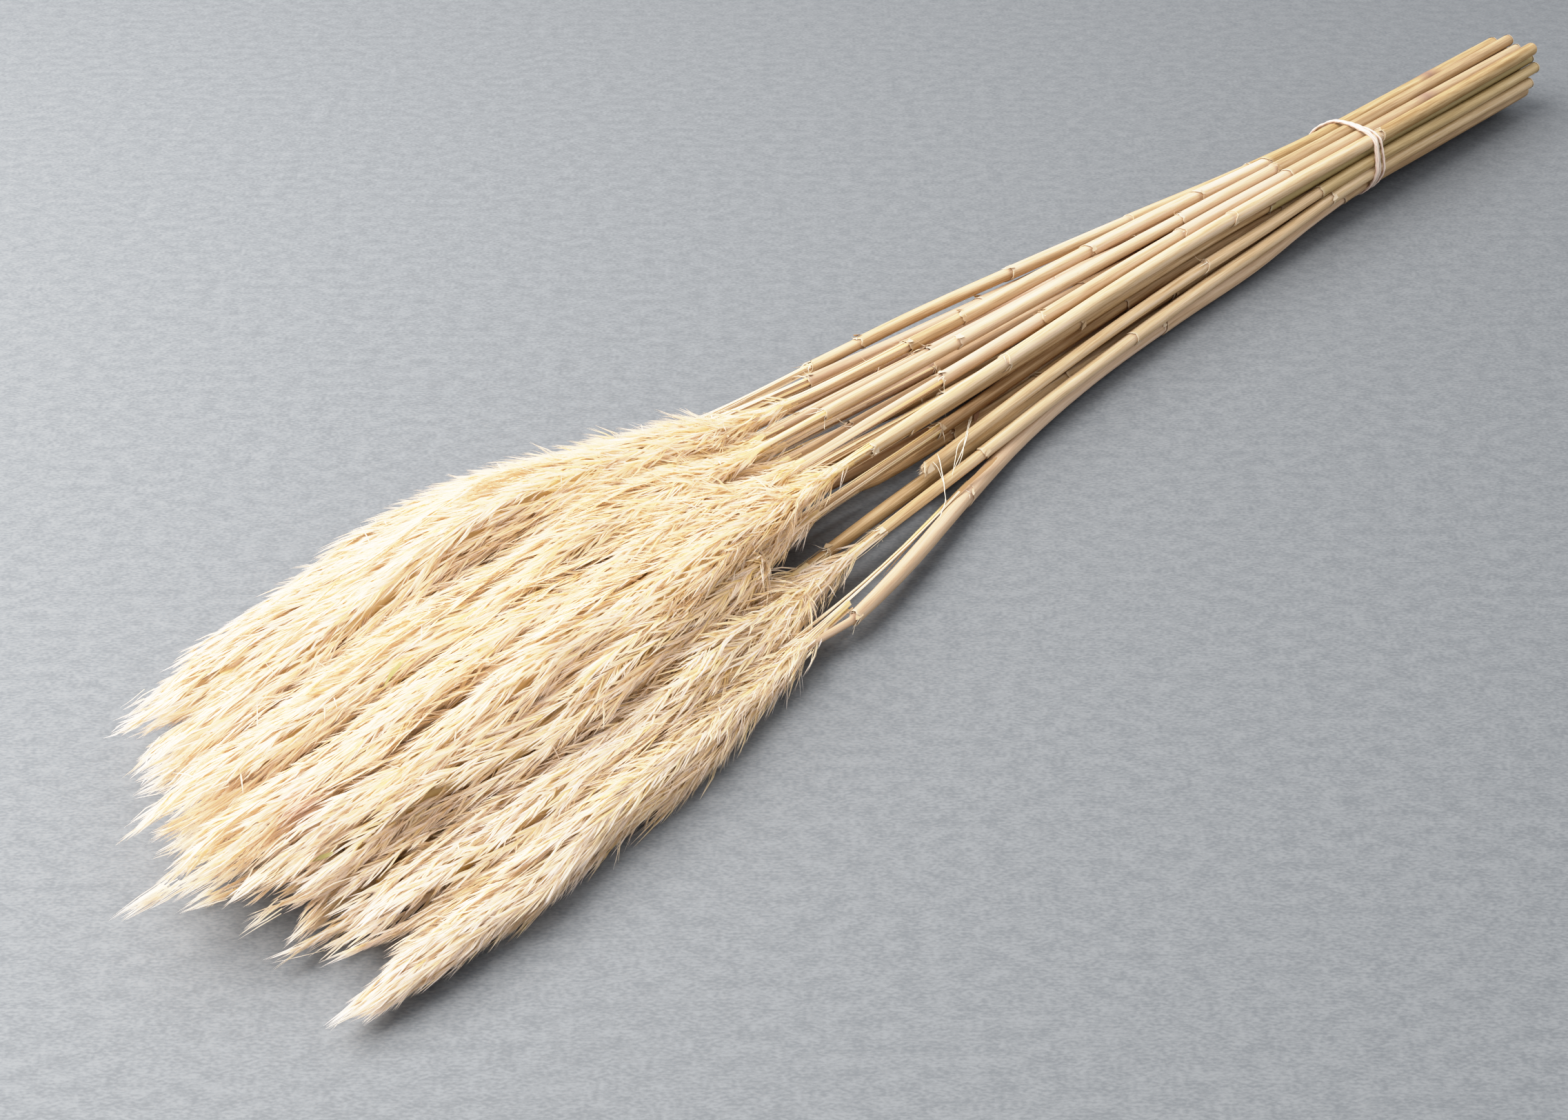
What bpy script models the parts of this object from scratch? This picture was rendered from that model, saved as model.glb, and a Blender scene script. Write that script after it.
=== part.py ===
# A bundle of dried plume reed, tied near its cut ends with an elastic band and laid on a table.
# +X runs from the plume tips to the cut ends, +Z is up, and the origin is under the middle of
# the bundle, on the surface that it lies on. Sizes below are in millimetres.

import math

import bmesh
import bpy
import numpy as np

MM = 0.001

# One row for each reed, from the near right edge of the fan to the far left edge:
# place across the fan and layer in the pile where it is gripped, the same two at its plume,
# where its plume starts along X, where it ends, how full the plume is, and where it was cut.
# A reed whose plume starts and ends at one point has lost it: the stem is broken off there.
REEDS = (
    (0.03, 0.0, 0.00, 0.0, -140, -326, 0.85, 345),
    (-0.02, 0.6, 0.145, 0.1, -112, -318, 0.90, 343),
    (0.11, 0.0, 0.225, 0.0, -128, -326, 0.85, 340),
    (0.06, 1.3, 0.21, 0.5, -70, -70, 0.00, 349),
    (0.16, 0.7, 0.41, 0.0, -122, -322, 0.90, 346),
    (0.21, 1.0, 0.31, 0.85, -116, -331, 0.95, 344),
    (0.19, 2.4, 0.33, 1.7, -98, -333, 1.00, 347),
    (0.22, 1.6, 0.41, 1.0, -108, -340, 1.00, 350),
    (0.32, 2.4, 0.42, 1.95, -112, -349, 1.00, 344),
    (0.27, 0.0, 0.50, 0.0, -120, -336, 0.95, 339),
    (0.34, 1.0, 0.48, 1.0, -104, -338, 1.00, 347),
    (0.49, 2.4, 0.565, 2.05, -115, -342, 1.05, 345),
    (0.40, 0.3, 0.61, 0.0, -126, -330, 1.00, 342),
    (0.41, 1.6, 0.56, 1.1, -106, -336, 1.00, 348),
    (0.66, 2.2, 0.71, 1.9, -92, -334, 1.05, 343),
    (0.50, 0.0, 0.74, 0.0, -118, -325, 1.00, 341),
    (0.51, 1.6, 0.65, 1.0, -100, -330, 1.00, 346),
    (0.64, 0.3, 0.87, 0.0, -122, -318, 1.05, 338),
    (0.59, 1.9, 0.64, 1.8, -110, -322, 1.05, 345),
    (0.66, 1.4, 0.74, 1.0, -112, -326, 1.00, 344),
    (0.80, 1.1, 0.80, 1.0, -104, -314, 1.05, 342),
    (0.88, 1.1, 0.90, 1.1, -112, -322, 1.10, 347),
    (0.99, 1.5, 0.98, 0.65, -108, -316, 1.20, 343),
    (0.98, 0.5, 1.00, 0.0, -116, -308, 1.10, 340),
)

# How the fan opens along X: y at place 0, y at place 1, height of layer 0, height of one layer.
FAN = (
    (-330.0, -73.0, 57.0, 7.0, 8.5),
    (-210.0, -60.0, 58.0, 8.5, 12.0),
    (-110.0, -45.0, 49.0, 8.0, 11.0),
    (0.0, -18.5, 43.0, 4.6, 8.5),
    (100.0, -11.0, 33.0, 4.8, 8.8),
    (216.0, -10.0, 17.0, 5.0, 9.5),
    (350.0, -10.0, 16.0, 4.5, 9.5),
)
STATIONS = np.arange(-352.5, 353.0, 15.0)
CROSSING = 110.0
GIRTH_SEED = 4
STEM_SEED = 100
PLUME_SEED = 200

# How the reeds settle: rounds, those in which they still bend and pull, and the share of each
# misplacement that one round takes away.
ROUNDS = 400
SPRINGY_ROUNDS = 340
PULL = 0.05
STIFFNESS = 0.35
PUSH = 0.275
SQUEEZE = 0.8

GRIP_X = 216.0
GRIP_Y = 3.5
GRIP_Z = 18.5
GRIP_RADIUS = 16.7
GRIP_TIGHT = 24.0
CUT_SPLAY = 0.012
FAN_SPLAY = 0.12
FAN_FREE_X = 45.0

STEM_X = (-150.0, 50.0, 350.0)
STEM_RADIUS = (2.05, 2.5, 2.64)
THINNEST = 0.90
THICKEST = 1.05
GRIP_GAP = 0.22
LOOSE_GAP = 0.5
GAP_X = (130.0, 185.0)
STEM_SIDES = 8
STEM_STEP = 60.0
FIRST_SHEATH = (40.0, 95.0)
SHEATH_PITCH = (90.0, 150.0)
LAST_SHEATH = 14.0
SHEATH_RISE = 0.045
SHEATH_DROP = 1.6
SHEATH_SLANT = 0.36
STEM_TIP_RADIUS = 1.7

HEAD_U = (0.0, 0.12, 0.3, 0.6, 0.85, 1.0)
HEAD_ROOM = (0.0, 2.6, 4.8, 5.0, 3.2, 1.4)
NECK_ROOM = 1.6
FREE_U = (0.0, 0.08, 0.22, 0.42, 0.68, 0.88, 1.0)
FREE_REACH = (1.8, 4.0, 9.0, 12.5, 11.0, 7.0, 2.0)
CELL_GAP = 0.45
TIP_MARGIN = 8.0
TIP_GAP = 2.0
FACING_LEAST = 0.05
REACH_LEAST = 0.5
BUTT_GAP = 0.3
CORE_SIDES = 6
CORE_RINGS = 9
CORE_SHARE = 0.46
CORE_LEAST = 1.1
CORE_MOST = 0.9
CORE_END = 0.35
FLAT_RINGS = range(2, CORE_RINGS - 1)
FLAT_BELOW = -0.5
LOCKS = 16
LOCK_LENGTH = (44.0, 74.0)
LOCK_ROOT = 0.25
LOCK_SHORTENS = (1.05, 0.8)
LOCK_CREST = (0.81, 0.94)
LOCK_SIDES = (0.0, 0.30, -0.30)
LOCK_DEPTH = 0.45
LOCK_ROOT_SIDES = (0.0, 0.21, -0.21)
LOCK_ROOT_DEPTH = 0.2
LOCK_POINT = 0.92
LOCK_POINT_GAP = 1.0
# The topmost plume has nothing above it, so its upper locks stand up more.
TOPMOST = 14
TOPMOST_RISE = 1.2
LOCKS_FROM = 0.05
LOCKS_TO = 0.77
PRESSED_LAYER = 0.2

BAND_GAP = 0.42
BAND_STRAND = 0.85
BAND_TURNS = 3
BAND_SIDES = 6
BAND_STEPS = 24
BAND_SWAY = 1.9

GOLDEN = math.pi * (3.0 - math.sqrt(5.0))
SHARP_FROM = math.radians(50.0)


def between(a, b, t):
    return a + (b - a) * t


def clear_scene():
    for obj in list(bpy.data.objects):
        bpy.data.objects.remove(obj, do_unlink=True)


def finish_of(name, colour, roughness):
    material = bpy.data.materials.new(name)
    material.use_nodes = True
    shader = material.node_tree.nodes["Principled BSDF"]
    shader.inputs["Base Color"].default_value = (*colour, 1.0)
    shader.inputs["Roughness"].default_value = roughness
    shader.inputs["Metallic"].default_value = 0.0
    return material


def mesh_object(name, points, faces, material=None):
    """A mesh object from points in millimetres, shaded smooth."""
    mesh = bpy.data.meshes.new(name)
    mesh.from_pydata([tuple(MM * c for c in p) for p in points], [], faces)
    mesh.shade_smooth()
    if material:
        mesh.materials.append(material)
    obj = bpy.data.objects.new(name, mesh)
    bpy.context.scene.collection.objects.link(obj)
    return obj


class Bundle:
    """Where each reed runs: its middle line and the room it takes, at every station along X."""

    def __init__(self):
        self.count = len(REEDS)
        draw = np.random.default_rng(GIRTH_SEED)
        self.girth = draw.uniform(THINNEST, THICKEST, self.count)
        self.start = np.array([row[4] for row in REEDS], float)
        self.tip = np.array([row[5] for row in REEDS], float)
        self.full = np.array([row[6] for row in REEDS], float)
        self.cut = np.array([row[7] for row in REEDS], float)
        self.room = np.array([self.room_of(i, STATIONS) for i in range(self.count)])
        self.there = STATIONS >= self.tip[:, None] - TIP_MARGIN
        self.settle()

    def stem_radius(self, i, x):
        return self.girth[i] * np.interp(x, STEM_X, STEM_RADIUS)

    def along_head(self, i, x):
        length = max(self.start[i] - self.tip[i], 1.0)
        return np.clip((self.start[i] - x) / length, 0.0, 1.0)

    def room_of(self, i, x):
        """Half of the spacing that reed i keeps: a stem and its gap, or the heart of a plume."""
        head = NECK_ROOM + np.interp(self.along_head(i, x), HEAD_U, HEAD_ROOM)
        stem = self.stem_radius(i, x) + np.interp(x, GAP_X, (LOOSE_GAP, GRIP_GAP))
        return np.where(x < self.start[i], head, stem)

    def wanted(self, i):
        """The place in the fan that the table gives reed i, before the reeds press on each other."""
        grip_place, grip_layer, head_place, head_layer = REEDS[i][:4]
        turn = np.clip(-STATIONS / CROSSING, 0.0, 1.0)
        turn = turn * turn * (3.0 - 2.0 * turn)
        place = between(grip_place, head_place, turn)
        layer = between(grip_layer, head_layer, turn)
        x, near, far, low, rise = np.array(FAN).T
        y = between(np.interp(STATIONS, x, near), np.interp(STATIONS, x, far), place)
        z = np.interp(STATIONS, x, low) + np.interp(STATIONS, x, rise) * layer
        return y, z

    def settle(self):
        """Draws the reeds to their places and pushes them apart, off the table and into the grip."""
        goal = np.array([self.wanted(i) for i in range(self.count)])
        goal_y, goal_z = goal[:, 0], goal[:, 1]
        y, z = goal_y.copy(), goal_z.copy()
        need = self.room[:, None] + self.room[None]
        meet = self.there[:, None] & self.there[None]
        meet &= ~np.eye(self.count, dtype=bool)[:, :, None]
        past = STATIONS - GRIP_X
        ring = GRIP_RADIUS + CUT_SPLAY * np.clip(past, 0.0, None)
        ring += FAN_SPLAY * np.clip(-past - GRIP_TIGHT, 0.0, None)
        ring = np.where(STATIONS < FAN_FREE_X, np.inf, ring)
        for step in range(ROUNDS):
            if step < SPRINGY_ROUNDS:
                y += PULL * (goal_y - y)
                z += PULL * (goal_z - z)
                for line in (y, z):
                    line[:, 1:-1] += STIFFNESS * ((line[:, :-2] + line[:, 2:]) / 2 - line[:, 1:-1])
            apart_y = y[:, None] - y[None]
            apart_z = z[:, None] - z[None]
            apart = np.sqrt(apart_y**2 + apart_z**2) + 1e-9
            push = PUSH * np.clip(need - apart, 0.0, None) * meet / apart
            y += (push * apart_y).sum(axis=1)
            z += (push * apart_z).sum(axis=1)
            out_y, out_z = y - GRIP_Y, z - GRIP_Z
            out = np.sqrt(out_y**2 + out_z**2) + 1e-9
            back = SQUEEZE * np.clip(out + self.room - GRIP_GAP - ring, 0.0, None) / out
            y -= back * out_y
            z -= back * out_z
            z = np.maximum(z, self.room)
        self.y, self.z = y, z

    def middle(self, i, x):
        return np.interp(x, STATIONS, self.y[i]), np.interp(x, STATIONS, self.z[i])

    def reach(self, i, x, angle):
        """How far plume i may spread from its middle at x towards an angle, up to its neighbours."""
        y, z = self.middle(i, x)
        free = self.full[i] * np.interp(self.along_head(i, x), FREE_U, FREE_REACH)
        room = self.room_of(i, x)
        if math.sin(angle) < 0.0:
            free = min(free, z / -math.sin(angle))
        for j in range(self.count):
            if j == i or x < self.tip[j] - TIP_GAP:
                continue
            other_y, other_z = self.middle(j, x)
            gap = math.hypot(other_y - y, other_z - z)
            facing = math.cos(angle - math.atan2(other_z - z, other_y - y))
            if facing > FACING_LEAST:
                border = (gap**2 + room**2 - self.room_of(j, x) ** 2) / (2.0 * gap)
                free = min(free, (border - CELL_GAP / 2.0) / facing)
        return max(free, REACH_LEAST)


def tube(name, rings, material):
    """A closed tube through rings of points, each ring with as many points as the last."""
    sides = len(rings[0])
    points = [p for ring in rings for p in ring]
    faces = [tuple(range(sides))[::-1]]
    for k in range(len(rings) - 1):
        for s in range(sides):
            a = k * sides + s
            b = k * sides + (s + 1) % sides
            faces.append((a, b, b + sides, a + sides))
    last = (len(rings) - 1) * sides
    faces.append(tuple(range(last, last + sides)))
    return mesh_object(name, points, faces, material)


def sheath_edges(i, draw):
    """Where the leaf sheaths of a stem end, from the cut end to the plume."""
    edges = []
    x = REEDS[i][7] - draw.uniform(*FIRST_SHEATH)
    while x > REEDS[i][4] + LAST_SHEATH:
        edges.append(x)
        x -= draw.uniform(*SHEATH_PITCH)
    return edges


def stem(bundle, i, material):
    """A culm in its sheaths: it steps down to a thinner sheath at each edge towards the plume."""
    draw = np.random.default_rng(STEM_SEED + i)
    edges = sheath_edges(i, draw)
    top, foot = bundle.cut[i], bundle.start[i]
    stops = [top, *edges, foot]
    marks = [(top, 0.0), (foot, 0.0)]
    for high, low in zip(stops, stops[1:]):
        parts = math.ceil((high - low) / STEM_STEP)
        marks += [(between(high, low, k / parts), 0.0) for k in range(1, parts)]
    marks += [(e + SHEATH_DROP / 2.0, SHEATH_RISE) for e in edges]
    marks += [(e - SHEATH_DROP / 2.0, -SHEATH_RISE) for e in edges]
    marks.sort(reverse=True)
    slant = draw.uniform(-SHEATH_SLANT, SHEATH_SLANT)
    rings = []
    for x, swell in marks:
        y, z = bundle.middle(i, x)
        radius = bundle.stem_radius(i, x) * (1.0 + swell)
        if x == foot and bundle.tip[i] < foot:
            radius = STEM_TIP_RADIUS
        ring = []
        for s in range(STEM_SIDES):
            angle = 2.0 * math.pi * (s + 0.5) / STEM_SIDES
            lean = slant * radius * math.cos(angle) if swell else 0.0
            ring.append((x + lean, y + radius * math.cos(angle), z + radius * math.sin(angle)))
        rings.append(ring)
    return tube(f"stem_{i + 1:02d}", rings[::-1], material)


def plume_core(bundle, i, material):
    """The dense heart of a plume, which its locks stand out of. The lowest ones lie flat."""
    start, tip = bundle.start[i] - BUTT_GAP, bundle.tip[i]
    pressed = REEDS[i][3] < PRESSED_LAYER
    rings = []
    for k in range(CORE_RINGS):
        u = k / CORE_RINGS
        x = between(start, tip, u)
        y, z = bundle.middle(i, x)
        ring = []
        for s in range(CORE_SIDES):
            angle = 2.0 * math.pi * s / CORE_SIDES
            reach = bundle.reach(i, x, angle)
            share = CORE_SHARE
            if pressed and k in FLAT_RINGS and math.sin(angle) < FLAT_BELOW:
                share = 1.0
            radius = max(share * reach, min(CORE_LEAST, CORE_MOST * reach))
            if k == 0:
                radius = STEM_TIP_RADIUS
            ring.append((x, y + radius * math.cos(angle), z + radius * math.sin(angle)))
        rings.append(ring)
    y, z = bundle.middle(i, tip)
    angles = [2.0 * math.pi * s / CORE_SIDES for s in range(CORE_SIDES)]
    rings.append([(tip, y + CORE_END * math.cos(a), z + CORE_END * math.sin(a)) for a in angles])
    return tube(f"plume_{i + 1:02d}", rings[::-1], material)


def lock(bundle, i, x, angle, length, crest):
    """A pointed lock of spikelets: three-sided, rooted in the core and swept towards the tip."""
    points = []
    corners = [(0.0, LOCK_ROOT, off, LOCK_ROOT * LOCK_ROOT_DEPTH) for off in LOCK_ROOT_SIDES]
    corners += [(0.5, crest, off, crest * LOCK_DEPTH) for off in LOCK_SIDES]
    corners.append((1.0, LOCK_POINT * crest, 0.0, 0.0))
    for t, outer, off, inner in corners:
        here = max(x - t * length, bundle.tip[i] + LOCK_POINT_GAP * (2.0 - t))
        y, z = bundle.middle(i, here)
        radius = (inner if off else outer) * bundle.reach(i, here, angle + off)
        rise = radius * math.sin(angle + off)
        if i == TOPMOST and rise > 0.0:
            rise *= TOPMOST_RISE
        points.append((here, y + radius * math.cos(angle + off), z + rise))
    faces = [(0, 2, 1)]
    for s in range(3):
        t = (s + 1) % 3
        faces.append((s, t, t + 3))
        faces.append((s, t + 3, s + 3))
        faces.append((s + 3, t + 3, 6))
    return mesh_object("lock", points, [f[::-1] for f in faces])


def keep_largest(mesh):
    """Fills a hollow that the union has sealed and drops a loose scrap: one shell is left."""
    shape = bmesh.new()
    shape.from_mesh(mesh)
    bmesh.ops.triangulate(shape, faces=shape.faces[:])
    waiting = set(shape.faces)
    shells = []
    while waiting:
        to_visit = [waiting.pop()]
        shell = []
        while to_visit:
            face = to_visit.pop()
            shell.append(face)
            pairs = [edge.link_faces for edge in face.edges if len(edge.link_faces) == 2]
            near = {other for pair in pairs for other in pair} & waiting
            waiting -= near
            to_visit += near
        shells.append(shell)
    shells.sort(key=len, reverse=True)
    scraps = [face for shell in shells[1:] for face in shell]
    bmesh.ops.delete(shape, geom=scraps, context="FACES")
    shape.to_mesh(mesh)
    shape.free()


def fuse(body, pieces):
    """Joins the pieces to the body by one union, and removes them.

    Every piece is a closed solid, so the quick solver serves; the exact one takes minutes here.
    """
    group = bpy.data.collections.new("pieces")
    bpy.context.scene.collection.children.link(group)
    for piece in pieces:
        bpy.context.scene.collection.objects.unlink(piece)
        group.objects.link(piece)
    union = body.modifiers.new("union", "BOOLEAN")
    union.operation = "UNION"
    union.operand_type = "COLLECTION"
    union.collection = group
    union.solver = "MANIFOLD"
    graph = bpy.context.evaluated_depsgraph_get()
    joined = bpy.data.meshes.new_from_object(body.evaluated_get(graph))
    body.modifiers.remove(union)
    old = body.data
    body.data = joined
    bpy.data.meshes.remove(old)
    for piece in pieces:
        bpy.data.objects.remove(piece, do_unlink=True)
    bpy.data.collections.remove(group)
    keep_largest(joined)
    body.data.shade_smooth()
    body.data.set_sharp_from_angle(angle=SHARP_FROM)
    return body


def plume(bundle, i, material):
    """The flower head of one reed: a slim core with pointed locks all round it, tips free."""
    draw = np.random.default_rng(PLUME_SEED + i)
    core = plume_core(bundle, i, material)
    start, length = bundle.start[i], bundle.start[i] - bundle.tip[i]
    locks = []
    for k in range(LOCKS):
        u = between(LOCKS_FROM, LOCKS_TO, k / (LOCKS - 1))
        reach_out = draw.uniform(*LOCK_LENGTH) * between(*LOCK_SHORTENS, u)
        crest = draw.uniform(*LOCK_CREST)
        angle = k * GOLDEN + i
        locks.append(lock(bundle, i, start - u * length, angle, reach_out, crest))
    return fuse(core, locks)


def band_loop(turn, material):
    """One turn of the band: a closed strand round the grip, which sways across the other turns."""
    out = GRIP_RADIUS + BAND_GAP + BAND_STRAND
    phase = 2.0 * math.pi * turn / BAND_TURNS
    points = []
    for k in range(BAND_STEPS):
        round_at = 2.0 * math.pi * k / BAND_STEPS
        x = GRIP_X + BAND_SWAY * math.sin(round_at + phase)
        for s in range(BAND_SIDES):
            a = 2.0 * math.pi * s / BAND_SIDES
            r = out + BAND_STRAND * math.cos(a)
            z = max(GRIP_Z + r * math.sin(round_at), 0.0)
            points.append((x + BAND_STRAND * math.sin(a), GRIP_Y + r * math.cos(round_at), z))
    faces = []
    for k in range(BAND_STEPS):
        for s in range(BAND_SIDES):
            a, b = k * BAND_SIDES, ((k + 1) % BAND_STEPS) * BAND_SIDES
            t = (s + 1) % BAND_SIDES
            faces.append((a + s, b + s, b + t, a + t))
    return mesh_object("rubber_band" if turn == 0 else "turn", points, faces, material)


def band(material):
    turns = [band_loop(turn, material) for turn in range(BAND_TURNS)]
    return fuse(turns[0], turns[1:])


def main():
    clear_scene()
    straw = finish_of("straw", (0.72, 0.53, 0.29), 0.55)
    plume_cream = finish_of("plume_cream", (0.86, 0.72, 0.50), 0.8)
    elastic = finish_of("elastic", (0.86, 0.72, 0.62), 0.6)
    bundle = Bundle()
    for i in range(bundle.count):
        stem(bundle, i, straw)
        if bundle.tip[i] < bundle.start[i]:
            plume(bundle, i, plume_cream)
    band(elastic)


main()
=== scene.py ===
import math

import bpy
import numpy as np
from mathutils.geometry import convex_hull_2d
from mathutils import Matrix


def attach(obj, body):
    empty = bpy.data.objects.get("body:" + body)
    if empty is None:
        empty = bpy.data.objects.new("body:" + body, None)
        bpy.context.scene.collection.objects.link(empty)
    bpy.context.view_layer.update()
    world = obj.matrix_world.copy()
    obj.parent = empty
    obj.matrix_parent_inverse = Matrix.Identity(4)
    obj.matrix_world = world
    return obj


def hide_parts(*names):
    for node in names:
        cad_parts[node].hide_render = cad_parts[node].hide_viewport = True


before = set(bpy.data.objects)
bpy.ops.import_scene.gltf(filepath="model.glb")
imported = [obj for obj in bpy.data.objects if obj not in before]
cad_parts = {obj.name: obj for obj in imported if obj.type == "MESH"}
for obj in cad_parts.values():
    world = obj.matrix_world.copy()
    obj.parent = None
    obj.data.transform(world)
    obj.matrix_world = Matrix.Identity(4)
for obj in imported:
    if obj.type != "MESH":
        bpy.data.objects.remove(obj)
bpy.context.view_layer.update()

# A bundle of dried plume reed, tied near its cut ends and laid on a table. +X runs from the plume
# tips to the cut ends. Lengths are in millimetres until a mesh is made.

MM = 0.001
TURN = 2.0 * math.pi
GOLDEN = math.pi * (3.0 - math.sqrt(5.0))

PHOTO_WIDTH = 2274.0
FOCAL_PIXELS = 2600.0
SENSOR = 36.0
CAMERA_PLACE = (-429.9, -333.6, 373.0)
CAMERA_HEADING = math.radians(46.5)
CAMERA_DOWN = math.radians(40.0)

# The table, the lamp over it and the room, in metres and watts.
TABLE_HALF = 40.0
LAMP_PLACE = (-0.55, 0.54, 0.94)
LAMP_TARGET = (-0.15, 0.0, 0.0)
LAMP_SIZE = 1.3
LAMP_POWER = 40.0
LAMP_COLOUR = (1.0, 0.99, 0.97)
ROOM_COLOUR = (0.93, 0.96, 1.0)

REED_COUNT = 24
# The rings of a stem's solid lie further apart than this.
RING_GAP = 3.5
# How finely a plume's reach is read from its solid, round it and along X.
REACH_SIDES = 24
REACH_STEP = 10.0
LEAST_REACH = 0.4

EDGE_SEED = 200
CULM_SEED = 300
PLUME_SEED = 500
BAND_SEED = 700

# Where the leaf sheaths of the reeds in view end along X, from the cut end to the plume.
SHEATH_EDGES = {
    1: (196, 70, -62, -134), 2: (184, 48, -45, -101), 3: (150, 17, -118), 4: (178, 100),
    5: (172, 84, 2, -45), 6: (160, 60, -52), 7: (222, 122, -17, -87), 8: (150, 30, -62),
    9: (167, 98, 15, -42), 11: (180, 76, -36), 12: (165, 107, -20, -88),
    15: (172, 128, 65, -5, -34), 17: (190, 52, -30), 19: (176, 88, -28), 21: (150, 52, -40),
    22: (134, 20, -66), 23: (170, 100, 38, -35, -60), 24: (120, -20, -70),
}

# How pale each stem is, from 0 for orange tan to 1 for pale straw, and how pink it is.
STEM_TINTS = {
    1: (0.56, 0.5), 2: (0.62, 0.05), 3: (0.46, 0.0), 4: (0.52, 0.05), 5: (0.4, 0.1),
    6: (0.3, 0.15), 7: (0.64, 0.06), 8: (0.34, 0.1), 9: (0.66, 0.45), 11: (0.45, 0.15),
    12: (0.74, 0.15), 14: (0.4, 0.35), 15: (0.66, 0.1), 17: (0.42, 0.6), 19: (0.46, 0.7),
    20: (0.44, 0.75), 21: (0.45, 0.65), 22: (0.4, 0.55), 23: (0.6, 0.12), 24: (0.46, 0.4),
}
# The same for the bare culm at the cut end, where it differs.
END_TINTS = {
    1: (0.3, 0.3), 2: (0.62, 0.1), 3: (0.26, 0.2), 4: (0.7, 0.05), 5: (0.3, 0.2),
    6: (0.28, 0.55), 7: (0.36, 0.0), 8: (0.24, 0.35), 9: (0.44, 0.35), 12: (0.58, 0.25),
    14: (0.3, 0.6), 15: (0.6, 0.0), 19: (0.42, 0.1), 23: (0.5, 0.0),
}
# How much darker the bare culm at the cut end is: partly its own tan, partly painted shade where the
# lamp's light falls off.
END_TAN_AND_SHADE = 0.2
# The sheaths are darker towards the plumes: how much, and where along X that begins and is full.
UPPER_DARKER = 0.17
UPPER_RUN = (-70.0, 10.0)
# How much of a dull olive the bare culm at the cut end takes.
OLIVE_ENDS = {8: 0.5, 14: 0.4, 17: 0.6, 4: 0.25, 20: 0.3, 11: 0.3}
# Loose sheaths bow aside: where along X, over what length, and how far along Y.
BOWS = {1: (-134.0, 72.0, -4.8), 5: (-78.0, 36.0, -2.2)}
THICK_SHEATHS = {1: 0.2, 3: 0.06, 7: 0.08}
# Where a culm has a dark node.
NODES = {2: 309.0, 6: 262.0, 9: 268.0, 12: 312.0, 3: 247.0, 15: 286.0}

# Torn strips of sheath: the reed, half width, how white, how pale, how brown, and the points that
# each lies on.
LOOSE_STRIPS = (
    (1, 0.7, 0.0, 0.12, 0.1, ((-44, -31.2, 11.2), (-52, -32.2, 10.8), (-62, -33.6, 10.4),
        (-76, -35.5, 8.6), (-88, -37.2, 7.4))),
    (1, 0.35, 0.1, 0.75, 0.0, ((-60, -33, 10.6), (-76, -35.9, 8.9), (-92, -38.6, 7.2),
        (-112, -43.5, 5.8))),
    (4, 0.13, 1.0, 1.0, 0.0, ((-33.5, -10.6, 12), (-42, -16.4, 15.6), (-48.1, -21, 17.6),
        (-52.2, -23.4, 16.4), (-58, -25.9, 14.2), (-63.1, -28, 12.5))),
    (4, 0.1, 1.0, 1.0, 0.0, ((-50.4, -21.6, 17.6), (-54.7, -22.8, 17.1), (-57.6, -24.6, 15.6),
        (-60.6, -26.6, 13.6), (-64.2, -29, 12))),
    (4, 0.09, 1.0, 1.0, 0.0, ((-38, -13, 14.6), (-46, -19, 17.2), (-51, -22.4, 17),
        (-56, -25.8, 14.6), (-60.2, -27.6, 13.4))),
    (4, 0.14, 1.0, 1.0, 0.0, ((-63.8, -21.8, 17.6), (-64.8, -23.8, 16.4), (-66.4, -26.4, 14),
        (-68.3, -29.2, 12.2), (-70.4, -31.6, 10.8), (-73.7, -35.5, 9.8))),
    (4, 0.09, 1.0, 1.0, 0.0, ((-67.4, -23, 17), (-67.2, -25.2, 15.6), (-67.8, -27.8, 13),
        (-68.8, -29.8, 11.9))),
    (4, 0.1, 1.0, 1.0, 0.0, ((-71.6, -33.2, 9.9), (-74.2, -35.2, 10), (-78.6, -37.6, 9.4),
        (-82, -39.6, 8.2))),
    (5, 0.95, 0.0, 0.0, 0.55, ((-28.6, -8.4, 12.8), (-31.5, -10.8, 13.2), (-35.5, -13.6, 12.2))),
    (5, 0.4, 0.2, 0.4, 0.0, ((-30, -8, 13.4), (-34.5, -11, 13.6), (-39, -14, 12.6))),
)
STRIP_POINTS = 16
STRIP_FACING = (-0.35, -0.45, 0.82)
# Green bits of leaf in the plumes: which plume, and the points of each.
LEAF_SLIVERS = (
    (12, ((-262.0, -6.6, 40.8), (-265.4, -6.2, 38.4), (-269.0, -6.8, 35.6))),
    (6, ((-305.8, -36.6, 23.4), (-308.9, -35.4, 23.2), (-312.4, -33.6, 22.0))),
)

STEM_SIDES = 16
STEM_STEP = 9.0
# Sheaths: how much thicker than the solid the lowest is, how much thinner each next one, how far
# each starts inside the one below, how it flares, how its edge lifts, and the painted shade that it
# puts on the next one under that edge.
SHEATH_SWELL = 1.05
SHEATH_STEP = 0.02
SHEATH_START = 4.0
SHEATH_FLARE = 0.05
EDGE_LIFT = 0.13
EDGE_RUN = 3.0
LIP_SHADE = 0.4
NODE_WIDTH = 2.8
NODE_SWELL = 0.06
# The bare culm under the plume: its length, its radius, and how far it goes in.
BARE_CULM = 26.0
BARE_RADIUS = 1.25
BARE_RUN = 30.0
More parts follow.
